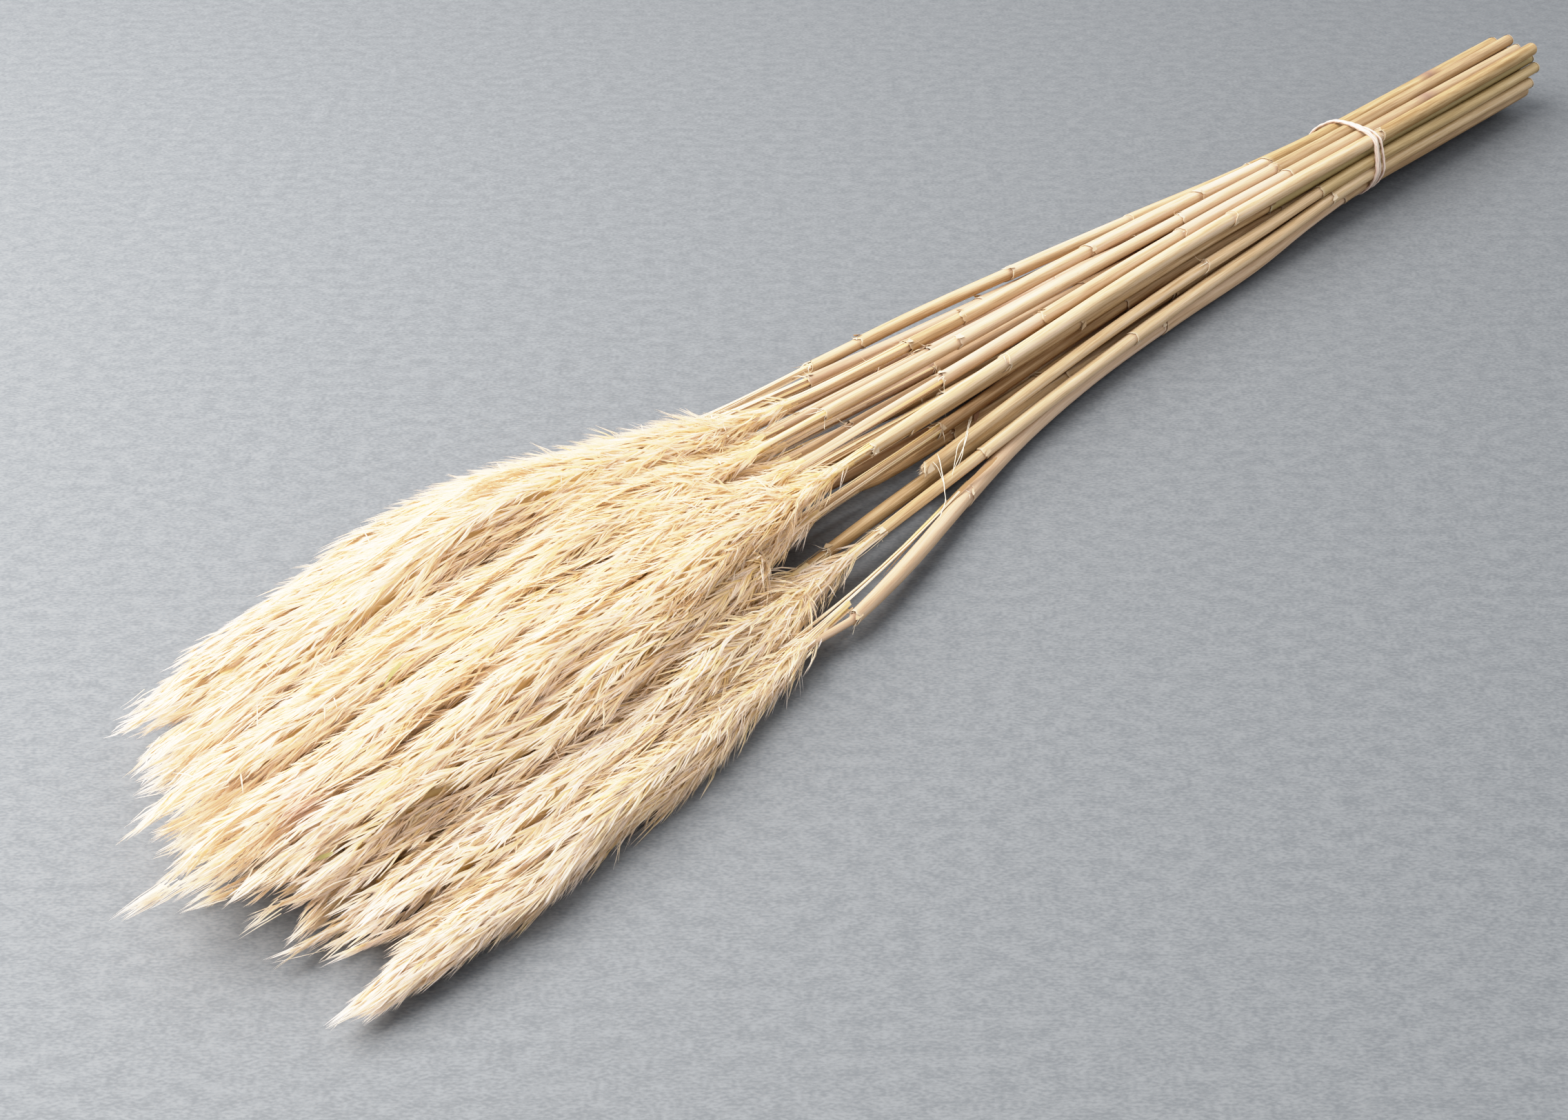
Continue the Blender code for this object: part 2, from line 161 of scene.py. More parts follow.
# The rings of a cut end and of the broken one: along X, share of the radius, how torn, and how dark
# the cut end is; the dark down its hollow is painted shade.
HOLLOW_DEPTH = 7.0
CUT_RINGS = (
    (-0.6, 1.0, 0.0, 0.0), (0.0, 0.97, 0.5, 0.0), (0.05, 0.86, 0.75, 0.0), (0.0, 0.52, 0.5, 0.35),
    (-HOLLOW_DEPTH, 0.468, 0.0, 0.9),
)
STUB_RINGS = (
    (1.2, 1.0, 0.0), (0.1, 0.92, 0.2), (-0.35, 0.64, 0.3), (-0.5, 0.34, 0.35), (-0.45, 0.02, 0.3),
)
STUB_FIBRES = 34
# How the grain of a culm goes round it, and how it shifts from reed to reed.
GRAIN_GIRTH = 2.6
GRAIN_SHIFT = 31.0

# How warm the cream of each plume is, where it differs from the rest.
WARMTH = 0.6
PLUME_WARMTH = {1: 0.05, 2: 0.05, 3: 0.15, 5: 0.4, 23: 0.3, 24: 0.4, 22: 0.4, 7: 0.8, 9: 0.8, 12: 0.9}

# Where a plume begins on its culm, after how much it is full, and how its head opens.
HEAD_ROOM = 8.0
FULL_AFTER = 22.0
HEAD_GROWTH = 1.35
HEAD_GROWTHS = {1: 1.6, 2: 2.0, 3: 2.0, 5: 1.7, 6: 1.7, 7: 1.6}
HEAD_REACH = 1.8
# A plume's least reach near its tip, and over what length it grows to that.
BLUNT_END = 4.4
BLUNT_RUN = 26.0
# How much wider a plume spreads than its solid, to its right (-Y) and to its left.
SPREAD = 0.5
SPREADS = {1: (-0.05, 0.35), 23: (0.34, 0.1), 24: (0.3, 0.2)}
# How much higher a plume reaches than its solid, where its neighbours would shade it. The topmost
# one stays lower.
RAISED = {6: 0.9, 3: 0.7, 2: 0.5, 15: -0.16}
# A plume's branches: how many, the length of the lowest and of the last, how soon one leaves the
# culm, its bare foot, and the share of the plume that bears them.
LOCKS = 150
LOCK_LONG = 72.0
LOCK_SHORT = 36.0
LOCK_RISE = 16.0
BARE_FOOT = 7.0
BRANCHED = 0.8
# How many reach its outside, how far these and the rest reach, how many are loose, how far the ends
# of these and of the rest flare, and how they sweep round.
OUTER_LOCKS = 0.74
OUTER_REACH = (0.88, 1.16)
INNER_REACH = (0.45, 0.88)
LOOSE_LOCKS = 0.4
LOOSE_FLARE = (0.05, 0.32)
FIRM_FLARE = (-0.08, 0.05)
SWEEP = 0.32
SPINE_HALF = 0.24
TUFTS = 20
# Of each kind of hair: how many in a tuft, points on each, length, half width, tone, how the tone
# varies, how its faces turn, and how far it stands off the rest.
# The silk's low tone, a deep ochre, is partly its own colour and partly painted shade between the
# spikelets.
SILK = (3, 3, (10.0, 17.0), (0.14, 0.23), 0.19, 0.12, 0.35, 0.0)
SPIKELETS = (3, 2, (8.0, 14.0), (0.2, 0.34), 0.88, 0.1, 0.45, 0.2)
SPLAY = (9.0, 29.0)
LEAN_OUT = 0.45
TUFT_TONE = 0.18
# How much paler a plume gets from below its head to its tip.
TIP_PALER = 0.26
# Where a tuft's hairs start along it, and how loose their roots and ends are.
HAIR_BACK = (-0.12, 0.2)
ROOT_LOOSE = 0.16
HAIR_LOOSE = 0.13
HAIR_ENDS = 0.9
STRAYS = 16
WISPS = 6
WISP_HAIRS = 9
WISP_LENGTH = (9.0, 14.0)
# The share of LOCKS that a plume has, where it differs. Most of these plumes lie hidden.
LOCKS_SHARE = {5: 0.6, 10: 0.5, 13: 0.5, 16: 0.5, 18: 0.6, 6: 1.15, 8: 0.8, 14: 0.8, 20: 0.8}
# Bare strands below the head: how many, in how many bunches, how far off the culm in a sheath and
# above it, and their half width.
STRANDS = 18
STRAND_BUNCHES = 6
STRAND_CLOSE = 1.0
STRAND_FREE = 2.0
STRAND_HALF = (0.13, 0.42)
# Strands that lie outside the sheath: from where, at which angle round the culm, how far round.
SIDE_STRANDS = {1: ((-60.0, 0.3, 0.5), (-75.0, 0.9, 0.5)), 5: ((-42.0, 3.6, 0.3),)}
# The heart: how far it fills the plume, and how full it is from the head to its end.
CORE_RINGS = 40
CORE_SIDES = 20
CORE_SHARE = 0.54
CORE_END = 0.86
CORE_RUN = (0.0, 0.06, 0.28, 0.8, 1.0)
CORE_FILLING = (0.2, 0.3, 1.0, 0.9, 0.3)
# The heart's tone, a dark ochre, is painted shade deep inside the plume.
CORE_TONE = 0.24
FLOOR_GAP = 0.15

# The picture's tone curve: light against level, and the light that is white.
FILM_WHITE = 2.2
FILM = (
    (0.02, 0.01), (0.05, 0.036), (0.1, 0.088), (0.2, 0.196), (0.45, 0.46), (0.75, 0.74),
    (1.00, 0.87), (1.25, 0.935), (1.6, 0.975),
)

GRIP_X = 216.0
BAND_STRANDS = 4
BAND_RADIUS = 0.54
BAND_STEPS = 150
BAND_SIDES = 8
# How far apart its strands lie, how this changes round the stems, and where they lie widest.
BAND_PITCH = 1.28
BAND_FAN = 0.4
BAND_WIDEST = 4.1
BAND_SWAY = 0.7
BAND_LIFT = 0.3
BAND_TWIST = 14.0
BAND_SQUARE = 0.16
GRAIN_SHIFT_BAND = 50.0


# Shader maths


class Value:
    """A socket of a finish. The operators of Python on it add Math nodes."""

    def __init__(self, finish, socket):
        self.finish = finish
        self.socket = socket

    def maths(self, operation, *values):
        inputs = dict(enumerate(values))
        return self.finish.node("ShaderNodeMath", {"operation": operation}, inputs)

    def __add__(self, other):
        return self.maths("ADD", self, other)

    def __sub__(self, other):
        return self.maths("SUBTRACT", self, other)

    def __rsub__(self, other):
        return self.maths("SUBTRACT", other, self)

    def __mul__(self, other):
        return self.maths("MULTIPLY", self, other)

    def __truediv__(self, other):
        return self.maths("DIVIDE", self, other)

    __radd__ = __add__

    def clamped(self):
        return self.maths("MAXIMUM", self.maths("MINIMUM", self, 1.0), 0.0)


class Finish:
    """A material, with one way to add its nodes."""

    def __init__(self, name):
        self.material = bpy.data.materials.new(name)
        self.material.use_nodes = True
        self.tree = self.material.node_tree
        self.shader = self.tree.nodes["Principled BSDF"]
        self.output = self.tree.nodes["Material Output"]

    def feed(self, socket, value):
        if isinstance(value, Value):
            self.tree.links.new(value.socket, socket)
        else:
            socket.default_value = value

    def node(self, kind, settings=None, inputs=None, output=0):
        node = self.tree.nodes.new(kind)
        for name, value in (settings or {}).items():
            if name == "stops":
                ramp = node.color_ramp.elements
                while len(ramp) < len(value):
                    ramp.new(1.0)
                for stop, (place, colour) in zip(ramp, value):
                    stop.position = place
                    stop.color = (*colour, 1.0)
            else:
                setattr(node, name, value)
        for name, value in (inputs or {}).items():
            self.feed(node.inputs[name], value)
        return Value(self, node.outputs[output])

    def field(self, name, output="Fac"):
        return self.node("ShaderNodeAttribute", {"attribute_name": name}, output=output)

    def noise(self, vector, scale, detail, stretch=None):
        if stretch:
            settings = {"operation": "MULTIPLY"}
            vector = self.node("ShaderNodeVectorMath", settings, {0: vector, 1: stretch})
        inputs = {"Vector": vector, "Scale": scale, "Detail": detail}
        return self.node("ShaderNodeTexNoise", None, inputs, "Fac")

    def mix(self, factor, first, second, blend="MIX"):
        first = (*first, 1.0) if isinstance(first, tuple) else first
        second = (*second, 1.0) if isinstance(second, tuple) else second
        settings = {"data_type": "RGBA", "blend_type": blend}
        return self.node("ShaderNodeMix", settings, {0: factor, 6: first, 7: second}, 2)

    def surface(self, **inputs):
        for name, value in inputs.items():
            self.feed(self.shader.inputs[name.replace("_", " ")], value)


def plume_finish():
    """Cream spikelets over ochre silk and a dark heart; this ochre is in part painted shade. Thin as it
    is, it lets light through.
    """
    finish = Finish("plume_cream")
    tone = finish.field("tone")
    along = finish.field("along")
    warmth = finish.field("warmth")
    place = finish.node("ShaderNodeTexCoord", output="Object")
    patches = finish.noise(place, 38.0, 2.0)
    pale = (tone * 0.66 + along * 0.46 + (patches - 0.5) * 0.3).clamped()
    stops = [(0.0, OCHRE), (0.3, PEACH), (0.62, CREAM), (1.0, WHITE)]
    colour = finish.node("ShaderNodeValToRGB", {"stops": stops}, {"Fac": pale})
    colour = finish.mix(warmth, colour, WARM, "MULTIPLY")
    ends = {0: place, 1: PINK_SPOT}
    distance = finish.node("ShaderNodeVectorMath", {"operation": "DISTANCE"}, ends, "Value")
    spot = (1.0 - distance / PINK_REACH + (patches - 0.5)).clamped()
    colour = finish.mix(spot * 0.4, colour, PINK)
    colour = finish.mix(finish.field("leaf"), colour, LEAF_GREEN)
    finish.surface(Base_Color=colour, Roughness=0.62, Specular_IOR_Level=0.35)
    through = finish.node("ShaderNodeBsdfTranslucent", None, {"Color": GLOW})
    plain = Value(finish, finish.shader.outputs[0])
    both = finish.node("ShaderNodeMixShader", None, {0: TRANSLUCENCE, 1: plain, 2: through})
    finish.feed(finish.output.inputs["Surface"], both)
    return finish.material


# OCHRE, the dark end of the tone ramp, is partly painted shade: the silk and the heart lie near it.
OCHRE = (0.89, 0.66, 0.25)
PEACH = (0.965, 0.8, 0.54)
CREAM = (0.98, 0.845, 0.72)
WHITE = (0.99, 0.91, 0.89)
PINK = (1.0, 0.7, 0.7)
LEAF_GREEN = (0.2, 0.24, 0.03)
# A faint pink stain on the plumes, in metres.
PINK_SPOT = (-0.3065, -0.0233, 0.029)
PINK_REACH = 0.008
WARM = (1.0, 0.96, 0.89)
GLOW = (0.99, 0.89, 0.74, 1.0)
TRANSLUCENCE = 0.42


def straw_finish():
    """Dry culms in papery sheaths: pale or tan, here and there pink, with a lengthwise grain."""
    finish = Finish("straw")
    shade = finish.field("shade")
    blush = finish.field("blush")
    torn = finish.field("torn")
    ring = finish.field("ring")
    run = finish.field("grain", "Vector")
    fine = finish.noise(run, 2.6, 4.0, (0.035, 1.0, 1.0))
    broad = finish.noise(run, 1.0, 3.0, (0.016, 0.62, 0.62))
    specks = finish.noise(run, 1.7, 5.0, (0.3, 0.9, 0.9))
    pale = (shade + (broad - 0.5) * 1.2 + (fine - 0.5) * 0.9).clamped()
    stops = [(0.0, BARK), (0.35, TAN), (0.65, STRAW), (1.0, PALE_STRAW)]
    colour = finish.node("ShaderNodeValToRGB", {"stops": stops}, {"Fac": pale})
    pink = (blush * (0.45 + broad)).clamped()
    colour = finish.mix(pink * 0.8, colour, LILAC)
    colour = finish.mix(finish.field("olive"), colour, OLIVE)
    scuffs = ((specks - 0.63) * 6.0).clamped()
    colour = finish.mix(scuffs * 0.35, colour, BARK)
    # ring marks dark nodes and brown strips, and painted shade under sheath edges and down cut hollows.
    colour = finish.mix((ring * (0.55 + fine * 0.6)).clamped(), colour, NODE_BROWN_AND_SHADE)
    colour = finish.mix(torn, colour, TORN)
    height = fine * 0.7 + specks * 0.3
    bump = finish.node(
        "ShaderNodeBump", None, {"Strength": 0.35, "Distance": 0.0003, "Height": height}, "Normal"
    )
    roughness = 0.5 + fine * 0.25
    finish.surface(Base_Color=colour, Roughness=roughness, Normal=bump, Specular_IOR_Level=0.32)
    return finish.material


BARK = (0.25, 0.135, 0.05)
TAN = (0.445, 0.29, 0.145)
STRAW = (0.58, 0.415, 0.25)
PALE_STRAW = (0.68, 0.515, 0.375)
OLIVE = (0.42, 0.36, 0.15)
LILAC = (0.52, 0.37, 0.3)
NODE_BROWN_AND_SHADE = (0.22, 0.12, 0.1)
TORN = (0.86, 0.77, 0.62)


def elastic_finish():
    """Pale elastic with a faint pink. Where the strands meet it is dark red: partly the rubber's edges,
    partly painted shade.
    """
    finish = Finish("elastic")
    run = finish.field("grain", "Vector")
    wear = finish.noise(run, 1.0, 3.0, (0.5, 0.5, 0.5))
    red_edges_and_shade = finish.field("ring")
    colour = finish.mix(wear, (0.76, 0.65, 0.54), (0.68, 0.52, 0.43))
    # Dark red where the strands meet: partly the rubber's edges, partly painted shade.
    colour = finish.mix(red_edges_and_shade, colour, (0.36, 0.14, 0.11))
    finish.surface(Base_Color=colour, Roughness=0.55 + wear * 0.2)
    return finish.material


def floor_finish():
    finish = Finish("table_grey")
    place = finish.node("ShaderNodeTexCoord", output="Object")
    fine = finish.noise(place, 1.0, 3.0, (640.0, 1600.0, 1.0))
    broad = finish.noise(place, 1.0, 2.0, (150.0, 260.0, 1.0))
    grain = ((fine - 0.5) * 3.0 + (broad - 0.5) * 1.6 + 0.5).clamped()
    colour = finish.mix(grain, (0.11, 0.116, 0.124), (0.158, 0.164, 0.171))
    finish.surface(Base_Color=colour, Roughness=0.7)
    return finish.material


# Meshes


def unit(vectors):
    return vectors / np.maximum(np.linalg.norm(vectors, axis=-1, keepdims=True), 1e-9)


def mixed(first, second, share):
    return first + (second - first) * share


def placed(name, data):
    """A new object in the scene."""
    thing = bpy.data.objects.new(name, data)
    bpy.context.scene.collection.objects.link(thing)
    return thing


def all_round(count):
    """Angles round a culm, from +Y over +Z."""
    return np.arange(count) * TURN / count


def outward(angle):
    """Away from the culm at each angle."""
    return np.stack([0.0 * angle, np.cos(angle), np.sin(angle)], -1)


def off_floor(spines):
    spines[..., 2] = np.maximum(spines[..., 2], 2.0 * FLOOR_GAP)
    return spines


class Sheets:
    """Gathers the points and faces of one mesh, and what its finish reads at each point."""

    def __init__(self, *fields, **same):
        self.points = []
        self.faces = []
        self.same = same
        self.values = {field: [] for field in (*fields, *same)}
        self.count = 0

    def add(self, points, faces, **values):
        points = np.asarray(points, float).reshape(-1, 3)
        self.points.append(points)
        for few in faces:
            self.faces.append(np.asarray(few, int) + self.count)
        for field, gathered in self.values.items():
            shape = points.shape if field == "grain" else len(points)
            value = np.asarray(values.get(field, self.same.get(field, 0.0)), float)
            gathered.append(value.reshape(shape) if value.size > 1 else np.full(shape, value))
        self.count += len(points)

    def object(self, name, material, nodes):
        points = np.concatenate(self.points)
        corners = np.concatenate([few.reshape(-1) for few in self.faces])
        sizes = np.concatenate([np.full(len(few), few.shape[1]) for few in self.faces])
        starts = np.concatenate([[0], np.cumsum(sizes)[:-1]])
        mesh = bpy.data.meshes.new(name)
        mesh.vertices.add(len(points))
        mesh.loops.add(len(corners))
        mesh.polygons.add(len(sizes))
        mesh.vertices.foreach_set("co", (points * MM).astype(np.float32).reshape(-1))
        mesh.loops.foreach_set("vertex_index", corners.astype(np.int32))
        mesh.polygons.foreach_set("loop_start", starts.astype(np.int32))
        mesh.update(calc_edges=True)
        mesh.shade_smooth()
        for field, gathered in self.values.items():
            kind, key = ("FLOAT_VECTOR", "vector") if field == "grain" else ("FLOAT", "value")
            layer = mesh.attributes.new(field, kind, "POINT")
            layer.data.foreach_set(key, np.concatenate(gathered).astype(np.float32).reshape(-1))
        mesh.materials.append(material)
        piece = placed(name, mesh)
        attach(piece, "root")
        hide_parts(*nodes)


def grid_faces(rows, columns, closed):
    """Quads between neighbouring rows of points, and round each row where it is closed."""
    row = np.arange(rows - 1)[:, None] * columns
    here = np.arange(columns if closed else columns - 1)[None]
    after = (here + 1) % columns
    quads = np.stack([row + here, row + after, row + after + columns, row + here + columns], -1)
    return quads.reshape(-1, 4)


def ribbons(sheets, spines, half_widths, facing, **values):
    """Flat ribbons that end in a point. spines are (n, k, 3) and facing is where they look."""
    count, stops = spines.shape[:2]
    run = np.gradient(spines, axis=1)
    side = unit(np.cross(run, facing[:, None])) * half_widths[..., None]
    pairs = np.stack([spines - side, spines + side], axis=2)[:, :-1].reshape(count, -1, 3)
    points = np.concatenate([pairs, spines[:, -1:]], axis=1)
    size = 2 * stops - 1
    first = np.arange(count)[:, None, None] * size
    steps = np.arange(stops - 2)[None, :, None] * 2
    quads = (first + steps + np.array([0, 1, 3, 2])[None, None]).reshape(-1, 4)
    tips = (first[:, 0] + np.array([size - 3, size - 2, size - 1])[None]).reshape(-1, 3)
    along = np.append(np.repeat(np.arange(stops - 1), 2), stops - 1) / (stops - 1)
    spread = {name: np.repeat(np.broadcast_to(v, count), size) for name, v in values.items()}
    faces = [quads, tips] if stops > 2 else [tips]
    sheets.add(points, faces, along=np.tile(along, count), **spread)


# The reeds, as the solids of the frame hold them


def points_of(node):
    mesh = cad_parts[node].data
    points = np.empty(len(mesh.vertices) * 3, np.float32)
    mesh.vertices.foreach_get("co", points)
    return points.reshape(-1, 3).astype(float) / MM


def triangles_of(node):
    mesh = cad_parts[node].data
    mesh.calc_loop_triangles()
    corners = np.empty(len(mesh.loop_triangles) * 3, np.int32)
    mesh.loop_triangles.foreach_get("vertices", corners)
    return points_of(node)[corners.reshape(-1, 3)]


def smooth_line(x, at, values):
    """A smooth line through values (n, m), known at the rising places at (n), read at x."""
    slopes = np.gradient(values, at, axis=0)
    k = np.clip(np.searchsorted(at, x) - 1, 0, len(at) - 2)
    span = (at[k + 1] - at[k])[..., None]
    t = (np.asarray(x) - at[k])[..., None] / span
    t = np.clip(t, -0.2, 1.2)
    one, two = t * t * (3.0 - 2.0 * t), t * (1.0 - t)
    line = mixed(values[k], values[k + 1], one)
    return line + span * two * ((1.0 - t) * slopes[k] - t * slopes[k + 1])


def outline_reach(points, centre):
    """How far the hull of flat points lies from the centre, towards REACH_SIDES directions."""
    hull = points[convex_hull_2d([tuple(p) for p in points])]
    edge = np.roll(hull, -1, axis=0) - hull
    normal = unit(np.stack([edge[:, 1], -edge[:, 0]], -1))
    if ((hull.mean(0) - hull[0]) * normal[0]).sum() > 0.0:
        normal = -normal
    room = ((hull - centre) * normal).sum(1)
    towards = normal @ outward(all_round(REACH_SIDES))[:, 1:].T
    free = np.where(towards > 1e-3, room[:, None] / np.maximum(towards, 1e-3), np.inf)
    return np.maximum(free.min(0), LEAST_REACH)


class Reed:
    """One reed: the middle line of its stem and plume, and how far its plume reaches out."""

    def __init__(self, number):
        self.number = number
        self.stem_node = f"stem_{number:02d}"
        self.plume_node = f"plume_{number:02d}"
        self.has_plume = self.plume_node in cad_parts
        points = points_of(self.stem_node)
        points = points[np.argsort(points[:, 0])]
        breaks = np.where(np.diff(points[:, 0]) > RING_GAP)[0] + 1
        rings = []
        for ring in np.split(points, breaks):
            ring = np.unique(np.round(ring, 3), axis=0)
            centre = ring.mean(0)
            radius = np.linalg.norm((ring - centre)[:, 1:], axis=1).mean()
            rings.append((*centre, radius))
        self.rings = np.array(rings)
        self.cut = self.rings[-1, 0]
        self.start = self.rings[0, 0]
        self.line = self.rings[:, :3]
        self.edges = self.sheath_edges()
        self.collar = self.edges[-1]
        if self.has_plume:
            self.head = min(self.collar - 3.0, self.start + HEAD_ROOM)
            self.read_plume()

    def sheath_edges(self):
        """Where its sheaths end: as in view, or by chance for a reed that is hidden."""
        if self.number in SHEATH_EDGES:
            return SHEATH_EDGES[self.number]
        draw = np.random.default_rng(EDGE_SEED + self.number)
        edges = []
        x = self.cut - draw.uniform(90.0, 170.0)
        while x > self.start + 60.0:
            edges.append(x)
            x -= draw.uniform(75.0, 130.0)
        return edges + [self.start + draw.uniform(18.0, 40.0)]

    def read_plume(self):
        corners = triangles_of(self.plume_node)
        self.tip = corners[..., 0].min()
        stations = np.arange(self.start - 12.0, self.tip + 5.0, -REACH_STEP)
        centres, reaches = [], []
        for x in stations:
            off = corners[..., 0] - x
            cuts = []
            for a, b in ((0, 1), (1, 2), (2, 0)):
                cross = off[:, a] * off[:, b] < 0.0
                t = (off[cross, a] / (off[cross, a] - off[cross, b]))[:, None]
                cuts.append(mixed(corners[cross, a], corners[cross, b], t)[:, 1:])
            outline = np.concatenate(cuts)
            centre = (outline.min(0) + outline.max(0)) / 2.0
            centres.append((x, *centre))
            reaches.append(outline_reach(outline, centre))
        centres, reaches = np.array(centres)[::-1], np.array(reaches)[::-1]
        for _ in range(2):
            centres[1:-1] = (centres[:-2] + 2.0 * centres[1:-1] + centres[2:]) / 4.0
            reaches[1:-1] = (reaches[:-2] + 2.0 * reaches[1:-1] + reaches[2:]) / 4.0
        tip = np.array([[self.tip - 2.0, *centres[0, 1:]]])
        inside = centres[centres[:, 0] < self.start - 20.0]
        self.line = np.concatenate([tip, inside, self.rings[:, :3]])
        width = np.ones((1, REACH_SIDES))
        full = centres[:, 0] < self.start - FULL_AFTER
        widening = np.linspace(0.15, 1.0, 6)
        opening = mixed(centres[full][-1, 0], self.head, widening)
        growth = widening[:, None] ** HEAD_GROWTHS.get(self.number, HEAD_GROWTH)
        opening_reach = mixed(reaches[full][-1:], HEAD_REACH * width, growth)
        blunt = BLUNT_END * np.clip((centres[full][:, :1] - self.tip) / BLUNT_RUN, 0.0, 1.0) ** 0.8
        reaches = np.maximum(reaches[full], blunt)
        sides, upward = np.cos(all_round(REACH_SIDES)), np.sin(all_round(REACH_SIDES))
        right, left = SPREADS.get(self.number, (SPREAD, SPREAD))
        reaches = reaches * (1.0 + left * np.maximum(sides, 0.0) + right * np.maximum(-sides, 0.0))
        reaches = reaches * (1.0 + RAISED.get(self.number, 0.0) * np.maximum(upward, 0.0))
        at = [[self.tip - 6.0], centres[full][:, 0], opening, [self.head + 60.0]]
        self.reach_at = np.concatenate(at)
        self.reaches = np.concatenate([0.5 * width, reaches, opening_reach, HEAD_REACH * width])

    def middle(self, x):
        line = smooth_line(x, self.line[:, 0], self.line[:, 1:])
        return line[..., 0], line[..., 1]

    def girth(self, x):
        return np.interp(x, self.rings[:, 0], self.rings[:, 3])

    def reach(self, x, angle):
        row = np.interp(x, self.reach_at, np.arange(len(self.reach_at)))
        low = np.clip(np.floor(row).astype(int), 0, len(self.reach_at) - 2)
        side = (angle / TURN * REACH_SIDES) % REACH_SIDES
        left = np.floor(side).astype(int) % REACH_SIDES
        right = (left + 1) % REACH_SIDES
        t, s = row - low, side - np.floor(side)
        lower = mixed(self.reaches[low, left], self.reaches[low, right], s)
        upper = mixed(self.reaches[low + 1, left], self.reaches[low + 1, right], s)
        return mixed(lower, upper, t)

    def place(self, x, angle, share):
        """The point at x, a share of the way from the culm to the plume's outside."""
        y, z = self.middle(x)
        heart = np.interp(x, (self.head - 60.0, self.head + 5.0), (0.5, 1.4))
        radius = heart + share * np.maximum(self.reach(x, angle) - heart, 0.2)
        return np.stack([x + 0.0 * radius, y + radius * np.cos(angle), z + radius * np.sin(angle)], -1)


# Plumes


class Locks:
    """The branches of one plume: where each leaves the culm, how long it is and how it spreads."""

    def __init__(self, reed, count, draw):
        self.reed = reed
        order = (np.arange(count) + 0.5) / count
        self.angle = np.arange(count) * GOLDEN + draw.normal(0.0, 0.12, count)
        top, end = reed.head + 2.0, mixed(reed.head, reed.tip, BRANCHED)
        self.x = mixed(top, end, order) + draw.normal(0.0, 2.0, count)
        length = mixed(LOCK_LONG, LOCK_SHORT, order) * draw.uniform(0.8, 1.15, count)
        self.length = np.minimum(length, self.x - reed.tip - draw.uniform(2.0, 12.0, count))
        outer = draw.random(count) < OUTER_LOCKS
        self.share = np.where(outer, draw.uniform(*OUTER_REACH, count), draw.uniform(*INNER_REACH, count))
        loose = draw.random(count) < LOOSE_LOCKS
        self.flare = np.where(loose, draw.uniform(*LOOSE_FLARE, count), draw.uniform(*FIRM_FLARE, count))
        self.sweep = draw.normal(0.0, SWEEP, count)
        self.rise = mixed(LOCK_RISE, 1.7 * LOCK_RISE, order)
        self.tone = draw.normal(0.0, 0.04, count)

    def at(self, k, s):
        """The point a share s of the way along branch k."""
        run = self.length[k] * s
        x = self.x[k] - run
        rise = 1.0 - (1.0 - np.minimum(run / self.rise[k], 1.0)) ** 1.7
        share = self.share[k] * rise + self.flare[k] * np.maximum(s - 0.6, 0.0) / 0.4
        return self.reed.place(x, self.angle[k] + self.sweep[k] * s, share)

    def axes(self, k, s):
        """Along the branch there, outwards from the culm, and across both."""
        along = unit(self.at(k, s + 0.03) - self.at(k, s - 0.03))
        angle = self.angle[k] + self.sweep[k] * s
        across = unit(np.cross(along, outward(angle)))
        return along, np.cross(across, along), across


def hairs(sheets, reed, locks, kind, draw):
    """Tufts of one kind of hair all along the locks. The hairs of a tuft meet in its tip."""
    hairs_each, stops, lengths, half_widths, tone, tone_range, turning, lift = kind
    count = len(locks.x)
    bare = np.where(locks.x > reed.head - 12.0, BARE_FOOT / locks.length, 0.05)
    k = np.repeat(np.arange(count), TUFTS)
    size = len(k)
    even = (np.tile(np.arange(TUFTS), count) + draw.random(size)) / TUFTS
    s = bare[k] + (1.0 - bare[k]) * even**0.9
    along, out, across = locks.axes(k, s)
    roll = draw.uniform(-2.0, 2.0, size)
    off = unit(LEAN_OUT * out * np.cos(roll)[:, None] + across * np.sin(roll)[:, None])
    wide = np.interp(locks.x[k], (reed.head - 100.0, reed.head - 15.0), (1.0, 1.15))
    early = np.radians(draw.uniform(*SPLAY, size)) * mixed(1.1, 0.5, s) * wide
    length = draw.uniform(*lengths, size) * np.clip(locks.length[k] / 60.0, 0.6, 1.0)
    late = early * draw.uniform(0.3, 0.9, size)
    first = along * np.cos(early)[:, None] + off * np.sin(early)[:, None]
    second = along * np.cos(late)[:, None] + off * np.sin(late)[:, None]
    root = locks.at(k, s)
    knee = root + first * (length * 0.5)[:, None]
    tip = knee + second * (length * 0.5)[:, None]
    tone = tone + locks.tone[k] + draw.normal(0.0, TUFT_TONE, size)
    tone += TIP_PALER * np.interp(root[:, 0], (reed.tip, reed.head - 60.0), (1.0, 0.0))
    # from tufts to their hairs
    h = np.repeat(np.arange(size), hairs_each)
    size = len(h)
    back = draw.uniform(*HAIR_BACK, (size, 1))
    loose = draw.normal(0.0, 1.0, (size, 3))
    start = root[h] + along[h] * back * length[h][:, None] + ROOT_LOOSE * loose
    end = tip[h] + along[h] * draw.normal(0.0, HAIR_ENDS, (size, 1))
    end = end + draw.normal(0.0, HAIR_LOOSE, (size, 3)) + lift * out[h]
    middle = knee[h] + along[h] * back * 0.5 * length[h][:, None] + HAIR_LOOSE * loose
    spines = np.stack([start, middle, end] if stops == 3 else [start, end], 1)
    spines[..., 2] = np.maximum(spines[..., 2], FLOOR_GAP + 0.5 * draw.random((size, 1)))
    taper = np.append(np.linspace(0.8, 1.0, stops - 1), 0.0)
    halves = draw.uniform(*half_widths, (size, 1)) * taper
    facing = unit(out[h] + turning * draw.normal(0.0, 1.0, (size, 3)))
    tone = np.clip(tone[h] + draw.normal(0.0, tone_range, size), 0.0, 1.0)
    ribbons(sheets, spines, halves, facing, tone=tone)


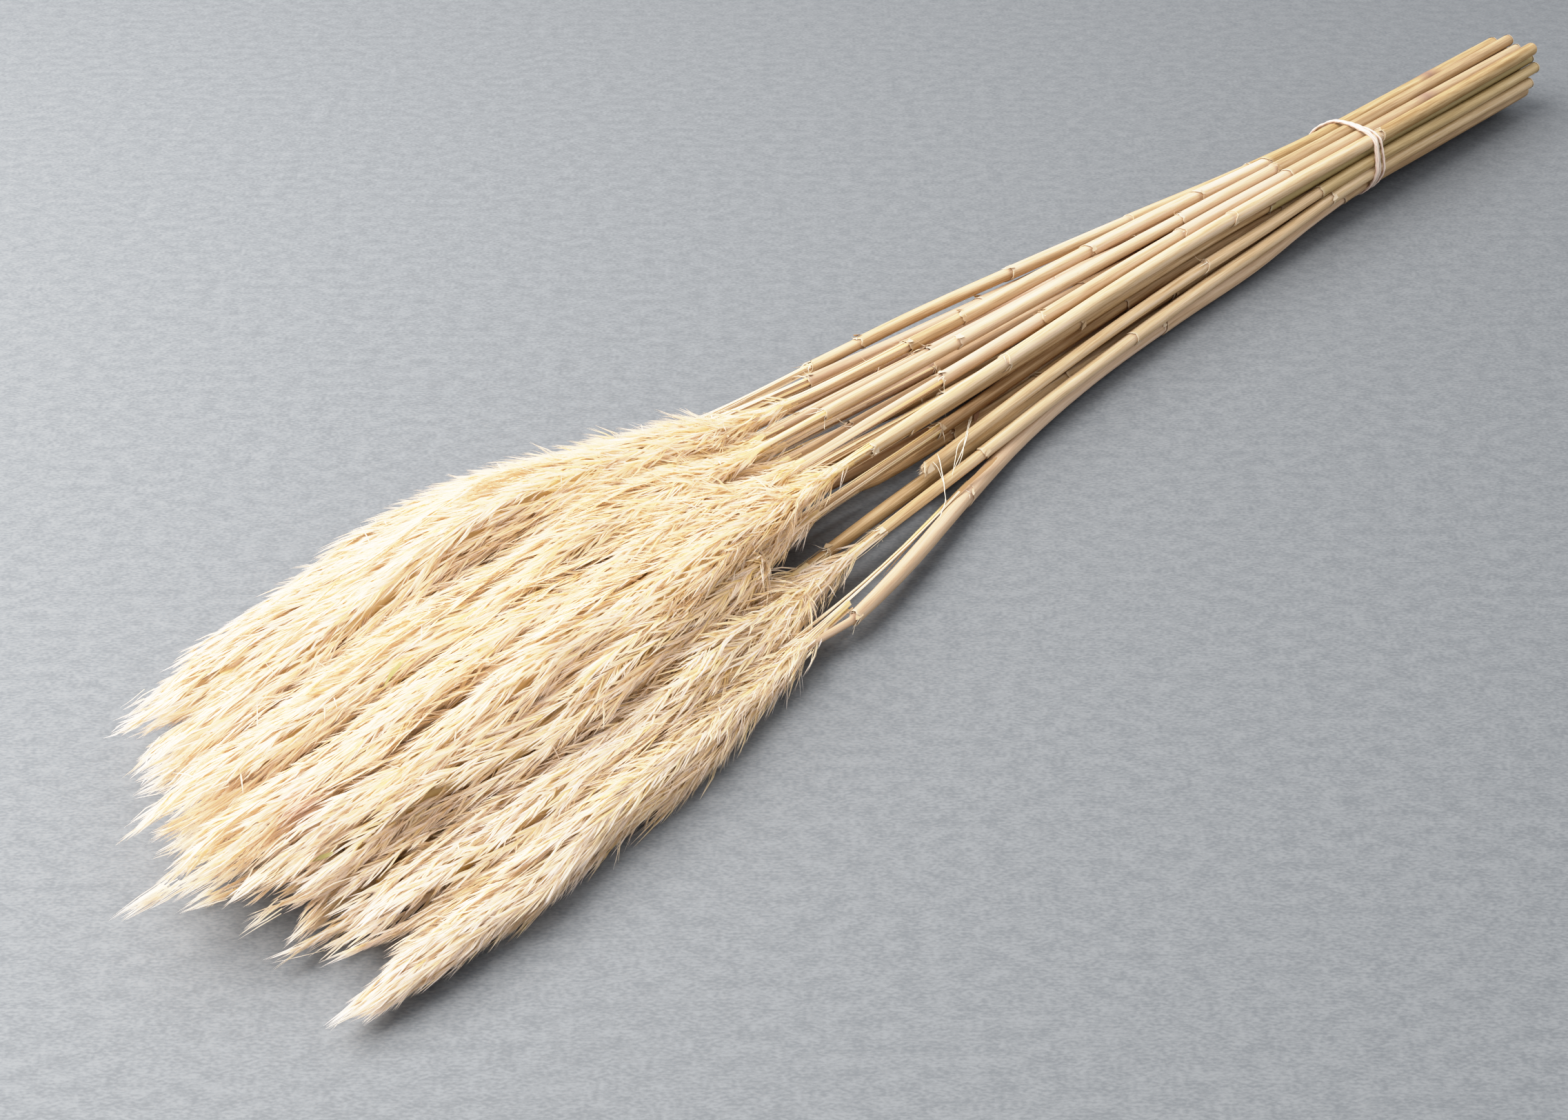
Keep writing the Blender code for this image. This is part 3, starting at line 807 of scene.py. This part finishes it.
def strays(sheets, reed, draw):
    """Broken hairs that lie across the plume."""
    x = draw.uniform(reed.tip + 20.0, reed.head - 20.0, STRAYS)
    angle = draw.uniform(0.0, math.pi, STRAYS)
    root = reed.place(x, angle, draw.uniform(0.85, 1.0, STRAYS))
    out = outward(angle)
    flat = unit(np.cross(out, draw.normal(0.0, 1.0, (STRAYS, 3))) - (0.8, 0.0, 0.0))
    step = (flat + 0.15 * out) * draw.uniform(2.4, 5.0, (STRAYS, 1))
    sag = out * draw.uniform(0.2, 1.2, (STRAYS, 1))
    spines = off_floor(np.stack([root, root + step + sag, root + 2.0 * step], 1))
    halves = draw.uniform(0.14, 0.26, (STRAYS, 1)) * np.array([0.6, 1.0, 0.0])
    ribbons(sheets, spines, halves, out, tone=draw.uniform(0.4, 1.0, STRAYS))


def wisps(sheets, reed, draw):
    """The last branches, which come together in thin points round the tip."""
    k = np.repeat(np.arange(WISPS), WISP_HAIRS)
    size = len(k)
    angle = draw.uniform(0.0, TURN, WISPS)[k]
    x = (reed.tip + draw.uniform(6.0, 30.0, WISPS))[k]
    share = draw.uniform(0.55, 1.0, WISPS)[k]
    length = draw.uniform(*WISP_LENGTH, WISPS)[k][:, None]
    ahead = unit(reed.place(x - 4.0, angle, 0.5) - reed.place(x + 4.0, angle, 0.5))
    aim = unit(ahead + 0.1 * draw.normal(0.0, 1.0, (WISPS, 3))[k])
    loose = draw.normal(0.0, 1.0, (size, 3))
    place = reed.place(x, angle, share)
    root = place + 0.9 * loose + aim * draw.uniform(-2.0, 4.0, (size, 1))
    tip = place + aim * (length + draw.normal(0.0, 1.2, (size, 1))) + 0.3 * loose
    middle = mixed(root, tip, 0.5) + 0.35 * draw.normal(0.0, 1.0, (size, 3))
    spines = off_floor(np.stack([root, middle, tip], 1))
    halves = draw.uniform(0.12, 0.22, (size, 1)) * np.array([0.8, 1.0, 0.0])
    facing = unit(draw.normal(0.0, 0.5, (size, 3)) + (0.0, 0.0, 1.0))
    ribbons(sheets, spines, halves, facing, tone=draw.uniform(0.35, 0.9, size))


def leaf_slivers(sheets, reed):
    """Bits of green leaf caught in the plume."""
    for number, route in LEAF_SLIVERS:
        if number == reed.number:
            halves = np.array([[0.45, 0.6, 0.0]])
            facing = np.array([STRIP_FACING])
            ribbons(sheets, np.array([route]), halves, facing, tone=0.5, leaf=0.9)


def branch_spines(sheets, reed, locks, draw):
    """The thin branches themselves, bare where they leave the culm."""
    k = np.arange(len(locks.x))
    s = np.linspace(0.0, 1.0, 7)
    spines = off_floor(locks.at(k[:, None], s))
    halves = np.full((len(k), len(s)), SPINE_HALF) * mixed(1.0, 0.5, s)
    _, out, _ = locks.axes(k, np.full(len(k), 0.3))
    tone = np.clip(0.25 + draw.normal(0.0, 0.08, len(k)), 0.0, 1.0)
    ribbons(sheets, spines, halves, out, tone=tone)


def strands(sheets, reed, above, side, spread, draw):
    """The lowest branches, bare beside the culm and open in the head. They start at above."""
    count = STRANDS
    s = np.linspace(0.0, 1.0, 9)
    bunches = side + draw.uniform(-spread, spread, STRAND_BUNCHES)
    angle = bunches[np.arange(count) % STRAND_BUNCHES] + draw.normal(0.0, 0.16, count)
    end = reed.head - draw.uniform(12.0, 45.0, count)
    x = mixed(above + 3.0, end[:, None], s)
    turn = angle[:, None] + draw.normal(0.0, 0.25, (count, 1)) * s**2
    y, z = reed.middle(x)
    hug = reed.girth(x) * draw.uniform(0.6, 0.95, (count, 1))
    free = STRAND_FREE if above > reed.collar else STRAND_CLOSE
    opening = np.clip((reed.head + 38.0 - x) / 45.0, 0.0, 1.3) ** 1.3
    away = draw.uniform(0.1, free, (count, 1)) * opening
    phase, pace = draw.uniform(0.0, TURN, (count, 1)), draw.uniform(2.0, 7.0, (count, 1))
    away += (0.08 + 0.14 * opening) * np.sin(phase + s * pace)
    radius = np.maximum(hug + away, draw.uniform(0.5, 0.8, (count, 1)) * reed.reach(x, turn))
    spines = off_floor(np.stack([x, y + radius * np.cos(turn), z + radius * np.sin(turn)], -1))
    halves = draw.uniform(*STRAND_HALF, (count, 1)) * mixed(1.0, 0.4, s)
    tone = np.clip(0.27 + draw.normal(0.0, 0.22, count), 0.0, 1.0)
    ribbons(sheets, spines, halves, outward(angle), tone=tone)


def heart(sheets, reed, draw):
    """The dense inside of a plume, which no light passes, in a dark ochre that is painted shade."""
    x = np.linspace(reed.head - 6.0, mixed(reed.head, reed.tip, CORE_END), CORE_RINGS)[:, None]
    angle = all_round(CORE_SIDES)[None]
    filling = np.interp(np.linspace(0.0, 1.0, CORE_RINGS), CORE_RUN, CORE_FILLING)
    share = CORE_SHARE * filling[:, None] * draw.uniform(0.9, 1.06, (CORE_RINGS, CORE_SIDES))
    points = reed.place(x + 0.0 * angle, angle + 0.0 * x, share)
    points[..., 2] = np.maximum(points[..., 2], FLOOR_GAP)
    sheets.add(points, [grid_faces(CORE_RINGS, CORE_SIDES, True)], tone=CORE_TONE)


def plume(reed, material):
    draw = np.random.default_rng(PLUME_SEED + reed.number)
    warmth = PLUME_WARMTH.get(reed.number, WARMTH) + 0.1 * draw.random()
    sheets = Sheets("tone", "along", "leaf", warmth=warmth)
    locks = Locks(reed, int(LOCKS * LOCKS_SHARE.get(reed.number, 1.0)), draw)
    heart(sheets, reed, draw)
    branch_spines(sheets, reed, locks, draw)
    for above, side, spread in ((reed.collar, 0.0, math.pi), *SIDE_STRANDS.get(reed.number, ())):
        strands(sheets, reed, above, side, spread, draw)
    hairs(sheets, reed, locks, SILK, draw)
    hairs(sheets, reed, locks, SPIKELETS, draw)
    strays(sheets, reed, draw)
    wisps(sheets, reed, draw)
    leaf_slivers(sheets, reed)
    sheets.object(f"feather_{reed.number:02d}", material, [reed.plume_node])


# Stems


def ring_points(reed, x, radius, angle):
    """Points round the culm. x and radius may differ from side to side."""
    y, z = reed.middle(x)
    place, width, aside = BOWS.get(reed.number, (0.0, 1.0, 0.0))
    width = np.where(x > place, width, width / 5.0)
    y = y + aside * np.exp(-(((x - place) / width) ** 2))
    return np.stack([x, y + radius * np.cos(angle), z + radius * np.sin(angle)], -1)


def add_tube(sheets, reed, x, radius, **values):
    """A tube round the reed through rings of points. x and radius are (rings, sides)."""
    angle = all_round(STEM_SIDES)[None] + 0.0 * x
    points = ring_points(reed, x, radius, angle)
    across = GRAIN_GIRTH * np.sin(angle) + GRAIN_SHIFT * reed.number
    grain = np.stack([x, GRAIN_GIRTH * np.cos(angle), across], -1)
    fields = {name: np.broadcast_to(v, x.shape) for name, v in values.items()}
    sheets.add(points, [grid_faces(len(x), STEM_SIDES, True)], grain=grain, **fields)


def torn_edge(draw, ragged):
    """How far a sheath's edge is torn back, side by side: a slant, fine jags and a deep tear."""
    edge = draw.uniform(0.6, 2.6) * np.cos(all_round(STEM_SIDES) - draw.uniform(0.0, TURN))
    edge += draw.normal(0.0, 0.35 * ragged, STEM_SIDES)
    edge[draw.integers(STEM_SIDES)] += 1.6 * ragged
    return edge


def slivers(sheets, reed, x, count, draw, longest):
    """Thin torn strips that stand off a sheath's edge and curl."""
    angle = draw.uniform(0.0, 1.3 * math.pi, count)
    length = draw.uniform(0.35, 1.0, count) * longest
    s = np.linspace(0.0, 1.0, 5)
    lift = draw.uniform(0.1, 0.9, count)
    at = x + 1.0 - length[:, None] * s * np.cos(lift)[:, None]
    out = reed.girth(at) + length[:, None] * np.sin(lift)[:, None] * s**1.7
    turn = angle[:, None] + draw.normal(0.0, 0.5, (count, 1)) * s**2
    spines = ring_points(reed, at, out, turn)
    halves = draw.uniform(0.1, 0.21, (count, 1)) * (1.0 - 0.6 * s)
    ribbons(sheets, spines, halves, outward(angle), torn=draw.uniform(0.7, 1.0, count), shade=0.9)


def flap(sheets, reed, x, shade, draw):
    """A pointed corner of the sheath's edge, lifted off the culm."""
    angle = draw.uniform(0.15 * math.pi, 1.1 * math.pi)
    s = np.linspace(0.0, 1.0, 5)[None]
    length, lift = draw.uniform(2.2, 4.6), draw.uniform(0.3, 1.5)
    at = x + 2.2 - length * s
    out = reed.girth(at) * 1.08 + 0.1 + lift * s**1.6
    spines = ring_points(reed, at, out, angle + 0.25 * s)
    halves = draw.uniform(0.8, 1.4) * np.sqrt(1.0 - s)
    ribbons(sheets, spines, halves, outward(np.array([angle])), torn=draw.uniform(0.0, 0.4), shade=shade)


def sheath(reed, high, low, swell, first, inner, draw):
    """The rings of a sheath from high to its edge at low: their x, radius and how torn they are."""
    begin = high if first else high + SHEATH_START
    x = np.linspace(begin, low + 2.5, max(int((begin - low) / STEM_STEP), 3))
    if not first:
        x = np.concatenate([[begin], high - np.array([0.2, 1.0, 2.0]), x[1:][x[1:] < high - 3.0]])
    flare = SHEATH_FLARE * (1.0 - 2.0 * np.clip((x - low) / (high - low), 0.0, 1.0))
    radius = reed.girth(x) * (swell + flare)
    if inner:
        bare = np.clip((x - reed.head) / BARE_CULM, 0.0, 1.0)
        radius = np.minimum(radius, mixed(BARE_RADIUS, 0.8 * radius, bare))
    pale = draw.uniform(0.15, 0.6)
    lift = EDGE_LIFT * draw.uniform(0.6, 1.3)
    edge = np.array([(1.6, 0.0, 0.0), (0.5, lift, 0.3 * pale), (0.0, lift, pale), (0.6, -0.3, pale)])
    radius = np.concatenate([radius, radius[-1] + edge[:, 1]])
    torn = np.concatenate([0.0 * x, edge[:, 2]])
    return np.concatenate([x, low + edge[:, 0]]), radius, torn


def culm(reed, material):
    draw = np.random.default_rng(CULM_SEED + reed.number)
    sheets = Sheets("shade", "blush", "olive", "torn", "ring", "grain")
    shade, blush = STEM_TINTS.get(reed.number, (draw.uniform(0.3, 0.65), draw.uniform(0.0, 0.4)))
    high = reed.cut
    swell = SHEATH_SWELL + THICK_SHEATHS.get(reed.number, 0.0)
    ends = [*reed.edges, reed.start - BARE_RUN if reed.has_plume else reed.start]
    for k, low in enumerate(ends):
        last = k == len(ends) - 1
        inner = last and reed.has_plume
        x, radius, torn = sheath(reed, high, low, swell, k == 0, inner, draw)
        jag = torn_edge(draw, 1.6 if last else 1.0)
        near = np.clip(1.0 - (x - low) / EDGE_RUN, 0.0, 1.0)
        rings = x[:, None] + near[:, None] * jag
        dark = node_at(reed, x)
        radius = radius * (1.0 + NODE_SWELL * dark)
        part_shade, part_blush, olive = shade, blush, 0.0
        if k:
            # Painted shade where this sheath comes out from under the edge of the one below.
            dark = np.maximum(dark, LIP_SHADE * np.exp(-((x - high) ** 2)))
        else:
            part_shade, part_blush = END_TINTS.get(reed.number, (shade, blush))
            # The cut end is darker: partly the culm's own tan, partly painted shade.
            part_shade, olive = part_shade - END_TAN_AND_SHADE, OLIVE_ENDS.get(reed.number, 0.1)
        part_shade = part_shade + draw.normal(0.0, 0.08)
        ring_shade = part_shade - UPPER_DARKER * np.interp(x, UPPER_RUN, (1.0, 0.0))
        part_blush = part_blush * draw.uniform(0.6, 1.2)
        add_tube(
            sheets, reed, rings, radius[:, None], shade=ring_shade[:, None], blush=part_blush,
            olive=olive, torn=torn[:, None], ring=dark[:, None],
        )
        if not inner:
            flap(sheets, reed, low, part_shade, draw)
            slivers(sheets, reed, low, draw.integers(1, 4), draw, 3.6)
            if k == len(ends) - 2:
                slivers(sheets, reed, low, 6, draw, 8.0)
        high = low
        swell -= SHEATH_STEP
    cut_end(sheets, reed, shade, draw)
    if not reed.has_plume:
        stub_end(sheets, reed, draw)
    loose_strips(sheets, reed)
    sheets.object(f"culm_{reed.number:02d}", material, [reed.stem_node])


def node_at(reed, x):
    """1 on the dark node of the culm, 0 away from it."""
    if reed.number not in NODES:
        return 0.0 * x
    return np.exp(-(((x - NODES[reed.number]) / NODE_WIDTH) ** 2))


def cut_end(sheets, reed, shade, draw):
    """The cut face: a rough rim round the hollow of the culm."""
    slant = draw.uniform(0.2, 1.0) * np.cos(all_round(STEM_SIDES) - draw.uniform(0.0, TURN))
    # The dark at the mouth and the bottom of the hollow is painted shade.
    step, share, torn, ring = np.array(CUT_RINGS).T[..., None]
    x = reed.cut + step + slant + draw.normal(0.0, 0.12, STEM_SIDES)
    x[-1] = reed.cut - HOLLOW_DEPTH
    radius = reed.girth(reed.cut) * 1.06 * share
    add_tube(sheets, reed, x, radius, shade=shade, torn=torn, ring=ring)


def stub_end(sheets, reed, draw):
    """The upper end of a reed that has lost its plume: pale pith and short fibres."""
    girth = reed.girth(reed.start)
    step, share, torn = np.array(STUB_RINGS).T[..., None]
    rough = draw.normal(0.0, 0.18, (len(step), STEM_SIDES))
    radius = girth * share * (1.0 + 0.3 * rough)
    add_tube(sheets, reed, reed.start + step + rough, radius, shade=0.42, torn=torn)
    angle = draw.uniform(0.0, TURN, STUB_FIBRES)
    s = np.linspace(0.0, 1.0, 4)[None]
    length = draw.uniform(1.2, 3.4, (STUB_FIBRES, 1))
    at = reed.start + 0.8 - length * s
    share = draw.uniform(0.45, 1.0, (STUB_FIBRES, 1))
    out = girth * share + draw.uniform(0.0, 1.1, (STUB_FIBRES, 1)) * s**1.5
    spines = ring_points(reed, at, out, angle[:, None] + 0.0 * s)
    halves = draw.uniform(0.1, 0.2, (STUB_FIBRES, 1)) * (1.0 - 0.6 * s)
    torn = draw.uniform(0.2, 0.8, STUB_FIBRES)
    ribbons(sheets, spines, halves, outward(angle), torn=torn, shade=0.7)


def loose_strips(sheets, reed):
    """Torn strips of sheath that lie over the reeds beside this one."""
    s = np.linspace(0.0, 1.0, STRIP_POINTS)
    facing = np.array([STRIP_FACING])
    for number, half, torn, shade, ring, route in LOOSE_STRIPS:
        if number == reed.number:
            line = smooth_line(s * (len(route) - 1), np.arange(len(route)) * 1.0, np.array(route, float))
            halves = half * np.interp(s, (0.0, 0.12, 0.7, 1.0), (0.35, 1.0, 0.9, 0.2))
            ribbons(sheets, line[None], halves[None], facing, torn=torn, shade=shade, ring=ring)


# The elastic band


def band(reeds, material):
    """Strands of elastic pulled tight round the stems, crossing each other."""
    draw = np.random.default_rng(BAND_SEED)
    circle = all_round(REACH_SIDES)
    outline = []
    for reed in reeds:
        y, z = reed.middle(np.array(GRIP_X))
        radius = reed.girth(GRIP_X) * 1.04 + BAND_RADIUS
        outline.append(np.stack([y + radius * np.cos(circle), z + radius * np.sin(circle)], -1))
    outline = np.concatenate(outline)
    centre = (outline.min(0) + outline.max(0)) / 2.0
    tight = outline_reach(outline, centre)
    at = all_round(BAND_STEPS)
    tight = np.interp(at, all_round(REACH_SIDES), tight, period=TURN)
    tight = (np.roll(tight, 1) + tight + np.roll(tight, -1)) / 3.0
    sheets = Sheets("ring", "grain")
    around = all_round(BAND_SIDES)
    faces = grid_faces(BAND_STEPS + 1, BAND_SIDES, True) % (BAND_STEPS * BAND_SIDES)
    for k in range(BAND_STRANDS):
        phase = TURN * k / BAND_STRANDS
        place = (k - (BAND_STRANDS - 1) / 2.0) * (BAND_PITCH + BAND_FAN * np.cos(at - BAND_WIDEST))
        x = GRIP_X + place + BAND_SWAY * np.sin(at + phase)
        radius = tight + BAND_LIFT * (1.0 + np.sin(at * 2.0 + phase * 1.7))
        twist = at * BAND_TWIST + phase
        swell = 1.0 + BAND_SQUARE * np.cos(2.0 * (around - twist[:, None]))
        r = radius[:, None] + BAND_RADIUS * swell * np.cos(around)
        points = np.stack([
            x[:, None] + BAND_RADIUS * swell * np.sin(around),
            centre[0] + r * np.cos(at)[:, None],
            np.maximum(centre[1] + r * np.sin(at)[:, None], 0.05),
        ], -1)
        # Dark red where each strand meets the next: partly its darker edges, partly painted shade.
        strand_sides_and_shade = np.clip(4.0 * np.abs(np.sin(around)) - 3.1, 0.0, 1.0)
        strand_sides_and_shade = strand_sides_and_shade * draw.uniform(0.4, 1.0, (BAND_STEPS, 1))
        sheets.add(points, [faces], ring=strand_sides_and_shade, grain=points + (0.0, 0.0, GRAIN_SHIFT_BAND * k))
    sheets.object("elastic_band", material, ["rubber_band"])


# The table, the light and the camera


def stage():
    mesh = bpy.data.meshes.new("table")
    square = ((-1.0, -1.0), (1.0, -1.0), (1.0, 1.0), (-1.0, 1.0))
    mesh.from_pydata([(x * TABLE_HALF, y * TABLE_HALF, 0.0) for x, y in square], [], [(0, 1, 2, 3)])
    mesh.materials.append(floor_finish())
    table = placed("table", mesh)
    table.rotation_euler[2] = CAMERA_HEADING - math.pi / 2.0


def lights():
    """A large soft lamp beyond the plumes, and a pale room."""
    data = bpy.data.lights.new("window", "AREA")
    data.shape = "DISK"
    data.size = LAMP_SIZE
    data.energy = LAMP_POWER
    data.color = LAMP_COLOUR
    light = placed("window", data)
    light.location = LAMP_PLACE
    aim = np.array(LAMP_TARGET) - np.array(LAMP_PLACE)
    level = math.hypot(aim[0], aim[1])
    light.rotation_euler = (math.atan2(level, -aim[2]), 0.0, math.atan2(aim[1], aim[0]) - math.pi / 2.0)
    world = bpy.data.worlds.new("room")
    world.use_nodes = True
    background = world.node_tree.nodes["Background"]
    background.inputs["Color"].default_value = (*ROOM_COLOUR, 1.0)
    bpy.context.scene.world = world


def film():
    """How the picture takes the light: deep in the shadows, and rolling off softly towards white."""
    settings = bpy.context.scene.view_settings
    settings.view_transform = "Standard"
    settings.use_curve_mapping = True
    settings.curve_mapping.white_level = (FILM_WHITE, FILM_WHITE, FILM_WHITE)
    curve = settings.curve_mapping.curves[3]
    for light, level in FILM:
        curve.points.new(light / FILM_WHITE, level)
    settings.curve_mapping.update()


def camera():
    data = bpy.data.cameras.new("camera")
    data.sensor_width = SENSOR
    data.lens = SENSOR * FOCAL_PIXELS / PHOTO_WIDTH
    data.clip_start = 0.01
    view = placed("camera", data)
    view.location = [c * MM for c in CAMERA_PLACE]
    view.rotation_euler = (math.pi / 2.0 - CAMERA_DOWN, 0.0, CAMERA_HEADING - math.pi / 2.0)
    bpy.context.scene.camera = view


camera()
lights()
film()
stage()
straw, silk = straw_finish(), plume_finish()
reeds = [Reed(number) for number in range(1, REED_COUNT + 1)]
for reed in reeds:
    culm(reed, straw)
    if reed.has_plume:
        plume(reed, silk)
band(reeds, elastic_finish())
